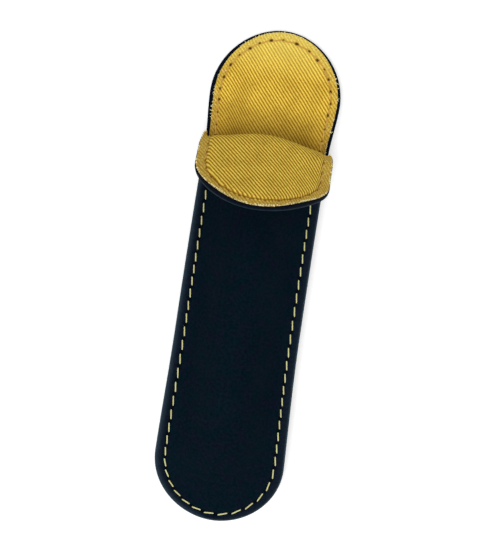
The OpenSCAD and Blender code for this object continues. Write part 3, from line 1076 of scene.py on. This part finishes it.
def twill_place(cloth, x, y):
    """Ribs crossed and distance along a rib, in pitches, for a place on the cut cloth."""
    across = x * math.sin(cloth.rib_slope) + y * math.cos(cloth.rib_slope)
    along = x * math.cos(cloth.rib_slope) - y * math.sin(cloth.rib_slope)
    return mm(np.stack([across, along], axis=-1) / cloth.rib_pitch)


def back_grid(edge):
    grid = Grid()
    shares = ring_shares(shape().width / 2, edge)
    bottom_rows(grid, shares)
    straight_rows(grid, shares, spread(bottom_round_y(), tongue_round_y(), STEP))
    tongue_rows(grid, shares)
    return grid.arrays()


class SLEEVE_OT_back_panel(bpy.types.Operator):
    """Builds the back with its tongue: leather, interlining and twill lining"""
    bl_idname = "sleeve.back_panel"
    bl_label = "Back panel"

    def execute(self, context):
        s = shape()
        half = s.width / 2
        x, y, r = back_grid(0)
        e = edge_distance(r, half)
        walk, off = near_seam(x, y, [seam_holes(), tongue_holes()])
        outer = back_points(x, y, leather_outer_depth(e, walk, off))
        inner = back_points(x, y, leather_inner_depth(e))
        # The rim mask carries the burnished edge and its painted sheen
        leather = shell_object("back_leather_skin", inner, outer, np.stack([x, y], axis=-1),
                               {"rim": bump(e, RIM_AND_SHEEN_WIDTH), **seam_values(walk, off, e)}, mm(0.12),
                               shown_first=False)
        finish_with(leather, "leather")
        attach(leather, "sleeve")
        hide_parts("back_leather")

        x, y, r = back_grid(s.allowance)
        e = edge_distance(r, half)
        face = np.full_like(x, s.lining)
        felt = shell_object("back_felt", back_points(x, y, face),
                            back_points(x, y, face + s.interlining),
                            np.stack([x, y], axis=-1), {}, mm(0.05), 2)
        finish_with(felt, "interlining")
        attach(felt, "sleeve")
        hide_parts("back_interlining")

        x, y, r = back_grid(s.margin)
        e = edge_distance(r, half)
        up = ease((y - mouth_y()) / (tongue_round_y() - mouth_y()))
        x = x + s.lining_shift * up
        y = y + (s.margin - s.tip_bare) * np.maximum(0, y - tongue_round_y()) / s.tongue_round
        walk, off = near_seam(x, y, [tongue_holes()])
        face = seam_sink(walk, off, mm(0.12), mm(0.22)) + mm(0.02)
        lining = shell_object("back_twill", back_points(x, y, face),
                              back_points(x, y, np.full_like(x, s.lining - mm(0.01))),
                              twill_place(s, arc_across(floor_z, x, y), y),
                              # from_mouth places the painted shade at the mouth and the painted
                              # light at the tip
                              {"from_mouth": (y - mouth_y()) / (tip_y() - mouth_y()),
                               **seam_values(walk, off, e)}, mm(0.1))
        finish_with(lining, "lining")
        ends = thread_object("tongue_frays", fray_paths(back_points(x, y, face), y > mouth_y(),
                                                        mm(0.8)), mm(0.09), 5)
        finish_with(ends, "frays")
        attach(ends, "sleeve")
        flat, area = panel_cut(s.margin, tip_y() - s.margin)
        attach(lining, "sleeve")
        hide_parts("back_lining")
        return {"FINISHED"}


def end_area(half, length, power):
    """Area of a rounded end."""
    return 2 * half * length * math.gamma(1 + 1 / power) ** 2 / math.gamma(1 + 2 / power)


def panel_cut(edge, top):
    """Flat size and area of a layer of the back, cut back from the edge, up to its top end."""
    s = shape()
    half = s.width / 2 - edge
    bottom, tongue = s.bottom_round - edge, s.tongue_round - edge
    area = end_area(half, bottom, s.end_power) + end_area(half, tongue, s.end_power)
    area += 2 * half * (top - bottom_y() - edge - bottom - tongue)
    return (2 * half, top - bottom_y() - edge), area


# Length of lining that the bend takes up for its bulge, as a share of the bulge
BULGE_TAKES = 1.3


def folded_cut(edge):
    """Flat size and area of the lining of the front, the fold and the flap."""
    s, f = shape(), flap()
    half = s.width / 2 - edge
    bend = 2 * f.reach + BULGE_TAKES * f.bulge
    length = fold_start_y() - bottom_y() - edge + bend + f.length - f.reach
    area = end_area(half, s.bottom_round - edge, s.end_power) + end_area(half, f.round, f.power)
    area += 2 * half * (length - s.bottom_round + edge - f.round)
    return (f.width, length), area


def front_rows(edge, flap_edge):
    """Grids of the front and of the flap, with as many columns each."""
    front, turned = Grid(), Grid()
    shares = ring_shares(shape().width / 2, edge)
    bottom_rows(front, shares)
    straight_rows(front, shares, spread(bottom_round_y(), fold_start_y(), STEP))
    flap_shares = ring_shares(flap().width / 2, flap_edge)
    flap_rows(turned, flap_shares)
    return front.arrays(), turned.arrays()


# How much further out an outer layer bends for its distance from the leather's face, and how
# much of that is lost at the corners
LAYER_GROWTH = 1.22
CORNER_CROWDING = 1.0

# Width of the fold's corners, which are pulled forward
CORNER = mm(3.2)

# Shares of the way round the bend at which its rows lie
BEND = np.linspace(0, 1, 25)[1:-1]


def fold_rows(from_row, to_row, outwards, x):
    """Rows that bend from the front to the flap. outwards is the distance of the layer's face
    from the leather's face, which lies innermost in the bend."""
    s, f = shape(), flap()
    hollow_half = s.width / 2 - s.allowance
    pull = f.bulge + f.crown * bell(np.abs(x) / hollow_half)
    corner = ease(1 - (s.width / 2 - np.abs(x)) / CORNER)
    pull = pull + corner * np.where(x < 0, f.left_flare, f.right_flare)
    pull = pull + outwards * (LAYER_GROWTH - CORNER_CROWDING * (x / (s.width / 2)) ** 2)
    gather = corner * np.where(x < 0, f.left_gather, 0)
    leave = np.stack([gather, pull, 0 * pull], axis=-1)
    come = pull[:, None] * np.array([0, math.cos(f.lift), -math.sin(f.lift)])
    come[:, 0] = gather
    rows = []
    for t in BEND:
        rows.append(from_row * (1 - t) ** 3 + (from_row + leave) * 3 * (1 - t) ** 2 * t
                    + (to_row + come) * 3 * (1 - t) * t ** 2 + to_row * t ** 3)
    return np.array(rows)


def folded(front, turned, front_depth, flap_depth, outwards):
    """Points of one face of the front, round the fold and over the flap."""
    x, y, _ = front
    u, w, _ = turned
    front_part = front_points(x, y, front_depth)
    flap_part = flap_points(u, w, stack() - flap_depth)
    bend = fold_rows(front_part[-1], flap_part[0], outwards, x[-1])
    return np.concatenate([front_part, bend, flap_part])


def along_fold(front_field, flap_field):
    """A field of values over the front, the fold and the flap."""
    t = BEND[:, None]
    bend = front_field[-1] * (1 - t) + flap_field[0] * t
    return np.concatenate([front_field, bend, flap_field])


def folded_pattern(front, turned, points):
    """Places on the cut pattern over the front, the fold and the flap. They are true on the
    flap, and each column's bend and front follow on from there."""
    x, y, _ = front
    u, w, _ = turned
    flat_x = along_fold(arc_across(roof_z, x, y), arc_across(flap_height, u, w))
    bend = points[len(y) - 1:len(y) + len(BEND) + 1]
    steps = np.linalg.norm(np.diff(bend, axis=0), axis=2)
    back = np.cumsum(steps[::-1], axis=0)[::-1]
    flat_y = np.concatenate([y - y[-1] - back[0], -back[1:], w - w[0]])
    return flat_x, flat_y


def folded_values(front_values, flap_values):
    """Values of the front and of the flap over the front, the fold and the flap."""
    return {key: along_fold(front_values[key], flap_values[key]) for key in front_values}


def blend_over_fold(thing):
    """Bakes a layer's place into its mesh."""
    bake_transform(thing)


class SLEEVE_OT_front_panel(bpy.types.Operator):
    """Builds the front, its fold and the flap: leather and twill lining"""
    bl_idname = "sleeve.front_panel"
    bl_label = "Front panel and flap"

    def execute(self, context):
        s, f = shape(), flap()
        half, flap_half = s.width / 2, f.width / 2
        front, turned = front_rows(0, 0)
        e = edge_distance(front[2], half)
        g = edge_distance(turned[2], flap_half)
        walk, off = near_seam(front[0], front[1], [seam_holes()])
        flap_walk, flap_off = near_seam(turned[0], turned[1], [flap_holes()])
        outer = folded(front, turned, leather_outer_depth(e, walk, off),
                       stack() - edge_fall(g) - seam_sink(flap_walk, flap_off, mm(0.1), mm(0.2)),
                       0)
        inner = folded(front, turned, leather_inner_depth(e),
                       np.full_like(g, stack() - s.leather), s.leather)
        flat_x, flat_y = folded_pattern(front, turned, outer)
        values = folded_values(seam_values(walk, off, e), seam_values(flap_walk, flap_off, g))

        # Painted sheen: the paler rim is broader down the pocket's sides, and most of all on its
        # left, where the light falls
        left = ease(-front[0] / half * 3)
        right = ease(front[0] / half * 3)
        wide_sheen = 0.5 * left * bump(e, mm(1.3)) + 0.12 * right * bump(e, mm(2.4))
        values["rim"] = along_fold(np.maximum(bump(e, RIM_AND_SHEEN_WIDTH), wide_sheen),
                                   0.45 * bump(g, RIM_AND_SHEEN_WIDTH))
        leather = shell_object("front_leather_skin", outer, inner,
                               np.stack([flat_x, flat_y], axis=-1), values, mm(0.12))
        finish_with(leather, "leather")
        blend_over_fold(leather)
        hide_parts("front_leather", "fold_leather", "flap_leather")

        # The lining widens towards the fold, and stands up inside the flap's seam
        flap_margin = mm(0.3)
        front, turned = front_rows(s.margin, flap_margin)
        near_fold = ease((front[1] - fold_start_y()) / FOLD_ZONE + 1)
        front[0][:] *= 1 + (s.margin - flap_margin) / half * near_fold
        e = edge_distance(front[2], half)
        g = edge_distance(turned[2], flap_half)
        walk, off = near_seam(front[0], front[1], [seam_holes()])
        flap_walk, flap_off = near_seam(turned[0], turned[1], [flap_holes()])
        self.trim_end(turned)
        field = ease((g - stitches().inset + mm(0.3)) / mm(1.6))
        rise = f.puff * field
        sink = seam_sink(flap_walk, flap_off, mm(0.3), mm(0.08))
        sink = sink * (0.3 + 0.7 * ease((turned[1] - f.reach) / mm(3)))
        face = s.interlining * (1 - field) - rise + sink
        face_out = folded(front, turned, np.zeros_like(e), face, stack())
        face_in = folded(front, turned, np.full_like(e, s.lining),
                         s.lining + s.interlining * (1 - field), stack() - s.lining)
        flat_x, flat_y = folded_pattern(front, turned, face_out)
        values = folded_values(seam_values(walk + 0.5, off, np.full_like(e, half)),
                               seam_values(flap_walk, flap_off, g))
        values["from_mouth"] = 0 * flat_x + 0.5
        lining = shell_object("front_twill", face_in, face_out,
                              twill_place(f, flat_x, -flat_y), values, mm(0.1))
        finish_with(lining, "flap_lining")
        blend_over_fold(lining)
        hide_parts("front_lining", "fold_lining", "flap_lining")
        keep = np.zeros(face_out.shape[:2], bool)
        keep[len(front[1]) + 8:] = True
        ends = thread_object("flap_frays", fray_paths(face_out, keep, mm(0.35)), mm(0.11), 5)
        finish_with(ends, "frays")
        blend_over_fold(ends)
        flat, area = folded_cut(s.margin)
        return {"FINISHED"}

    def trim_end(self, turned):
        """Cuts the lining back from the flap's rounded end."""
        f = flap()
        u, w, r = turned
        across = np.abs(u) / (f.width / 2)
        along = np.maximum(0, w - (f.length - f.round)) / f.round
        outer = ease((r - 0.8) / 0.2)
        back = f.tip_margin * along ** 2 + f.turn_margin * (2 * across * along) ** 2
        w -= outer * back * along
        u -= outer * back * across * np.sign(u) * (along > 0)


class SLEEVE_OT_interlinings(bpy.types.Operator):
    """Gives the front's and the flap's interlining their finish"""
    bl_idname = "sleeve.interlinings"
    bl_label = "Front and flap interlinings"

    def execute(self, context):
        s = shape()
        grid = Grid()
        shares = ring_shares(s.width / 2, s.allowance)
        bottom_rows(grid, shares)
        straight_rows(grid, shares, spread(bottom_round_y(), fold_start_y(), STEP))
        x, y, _ = grid.arrays()
        face = np.full_like(x, s.lining)
        felt = shell_object("front_felt", front_points(x, y, face + s.interlining),
                            front_points(x, y, face), np.stack([x, y], axis=-1), {}, mm(0.05), 2)
        finish_with(felt, "interlining")
        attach(felt, "sleeve")
        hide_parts("front_interlining")

        grid = Grid()
        flap_rows(grid, ring_shares(flap().width / 2, s.allowance))
        u, w, _ = grid.arrays()
        low = np.full_like(u, s.leather)
        felt = shell_object("flap_felt", flap_points(u, w, low),
                            flap_points(u, w, low + s.interlining),
                            np.stack([u, w], axis=-1), {}, mm(0.05), 2)
        finish_with(felt, "interlining")
        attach(felt, "flap")
        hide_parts("flap_interlining")
        return {"FINISHED"}


class SLEEVE_OT_stitching(bpy.types.Operator):
    """Sews the sleeve's seam, the tongue's and the flap's, on both faces"""
    bl_idname = "sleeve.stitching"
    bl_label = "Stitching"

    def execute(self, context):
        s, st = shape(), stitches()
        radius = st.thread / 2
        half = s.width / 2

        def leather_face(x, y):
            e = edge_distance(reach(x, y), half)
            return leather_inner_depth(e) + s.leather - st.groove

        def lining_face(x, y):
            return 0 * x - mm(0.14)

        def flap_leather_face(x, y):
            return 0 * x - mm(0.1)

        def flap_lining_face(x, y):
            return 0 * x + s.leather + s.lining - mm(0.34)

        runs = (
            ("seam_stitches", seam_holes(), front_points, leather_face, "thread",
             "seam_needle_thread", "sleeve", 1, radius * 0.7),
            ("seam_back_stitches", seam_holes(), back_points, leather_face, "thread",
             "seam_bobbin_thread", "sleeve", -1, radius * 0.7),
            ("tongue_back_stitches", tongue_holes(), back_points, leather_face, "thread",
             "tongue_bobbin_thread", "sleeve", -1, radius * 0.7),
            ("tongue_stitches", tongue_holes(),
             lambda x, y, h: back_points(x, y, -h), lining_face, "lining_thread",
             "tongue_needle_thread", "sleeve", 1, radius * 0.45),
            ("flap_back_stitches", flap_holes(),
             lambda x, y, h: flap_points(x, y, -h), flap_leather_face, "thread",
             "flap_bobbin_thread", "flap", -1, radius * 0.7),
            ("flap_stitches", flap_holes(), flap_points, flap_lining_face, "lining_thread",
             "flap_needle_thread", "flap", 1, radius * 0.2),
        )
        for name, holes, place, face, material, node, body, side, lift in runs:
            paths = stitch_paths(holes, place, face, lift, -radius * 1.6, st.slant * side)
            thread = thread_object(name, paths, radius)
            finish_with(thread, material)
            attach(thread, body)
            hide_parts(node)
        return {"FINISHED"}


class SLEEVE_OT_stage(bpy.types.Operator):
    """Sets the floor, the light and the camera"""
    bl_idname = "sleeve.stage"
    bl_label = "Stage"

    def execute(self, context):
        scene = context.scene
        stage = scene.sleeve_stage
        self.make_floor(stage)
        self.make_light(scene, stage)
        self.make_camera(scene, stage)
        scene.view_settings.view_transform = "Standard"
        return {"FINISHED"}

    def make_floor(self, stage):
        half = 1.2
        floor = new_object("floor", np.array([(-half, -half, 0), (half, -half, 0),
                                              (half, half, 0), (-half, half, 0)]), [(0, 1, 2, 3)])
        n = Nodes("floor")
        n.shader.inputs["Base Color"].default_value = linear(stage.floor)
        n.gloss(0.9, 0.1)
        n.shader.inputs["Emission Color"].default_value = (1, 1, 1, 1)
        seen = n.node("ShaderNodeLightPath").outputs["Is Camera Ray"]
        n.link(n.times(seen, stage.floor_glow), n.shader.inputs["Emission Strength"])
        floor.data.materials.append(n.material)

    def make_light(self, scene, stage):
        world = bpy.data.worlds.new("studio")
        world.use_nodes = True
        sky = world.node_tree.nodes["Background"]
        sky.inputs["Color"].default_value = (1, 1, 1, 1)
        sky.inputs["Strength"].default_value = stage.sky
        scene.world = world
        for name, place, width, power in (
            ("key", (-0.2, -0.4, 0.95), 0.6, 5.2),
            ("fill", (0.5, 0.3, 0.9), 0.9, 1.6),
        ):
            lamp = bpy.data.lights.new(name, "AREA")
            lamp.energy, lamp.size = power, width
            thing = bpy.data.objects.new(name, lamp)
            thing.location = place
            thing.rotation_euler = (Vector((0, 0, 0)) - Vector(place)).to_track_quat(
                "-Z", "Y").to_euler()
            scene.collection.objects.link(thing)

    def make_camera(self, scene, stage):
        data = bpy.data.cameras.new("camera")
        camera = bpy.data.objects.new("camera", data)
        scene.collection.objects.link(camera)
        e = stage.elevation
        centre = Vector((stage.centre_x, stage.centre_y, mm(8)))
        back = Vector((0, -math.cos(e), math.sin(e)))
        camera.location = centre + back * stage.distance
        roll = Matrix.Rotation(stage.roll, 3, "Z").to_quaternion()
        camera.rotation_mode = "QUATERNION"
        camera.rotation_quaternion = (-back).to_track_quat("-Z", "Y") @ roll
        sensor = 36
        data.sensor_fit = "AUTO"
        data.sensor_width = sensor
        data.lens = sensor / (stage.shown / stage.distance)
        data.clip_start, data.clip_end = 0.01, 10
        scene.camera = camera


OPERATORS = (SLEEVE_OT_stage, SLEEVE_OT_back_panel, SLEEVE_OT_front_panel,
             SLEEVE_OT_interlinings, SLEEVE_OT_stitching)


class SLEEVE_PT_sidebar(bpy.types.Panel):
    """Lists the sleeve's pieces in the order in which they are made"""
    bl_idname = "SLEEVE_PT_sidebar"
    bl_label = "Pen sleeve"
    bl_space_type = "VIEW_3D"
    bl_region_type = "UI"
    bl_category = "Pen sleeve"

    def draw(self, context):
        for operator in OPERATORS:
            self.layout.operator(operator.bl_idname)
        for group in GROUPS:
            box = self.layout.box()
            values = getattr(context.scene, group)
            for key in values.bl_rna.properties.keys():
                if key not in ("rna_type", "name"):
                    box.prop(values, key)


def register():
    for group in GROUPS.values():
        bpy.utils.register_class(group)
    for name, group in GROUPS.items():
        setattr(bpy.types.Scene, name, PointerProperty(type=group))
    for operator in OPERATORS:
        bpy.utils.register_class(operator)
    bpy.utils.register_class(SLEEVE_PT_sidebar)


def unregister():
    bpy.utils.unregister_class(SLEEVE_PT_sidebar)
    for operator in reversed(OPERATORS):
        bpy.utils.unregister_class(operator)
    for name, group in GROUPS.items():
        delattr(bpy.types.Scene, name)
        bpy.utils.unregister_class(group)


def main():
    register()
    for operator in OPERATORS:
        group, name = operator.bl_idname.split(".")
        getattr(getattr(bpy.ops, group), name)()


if __name__ == "__main__":
    main()
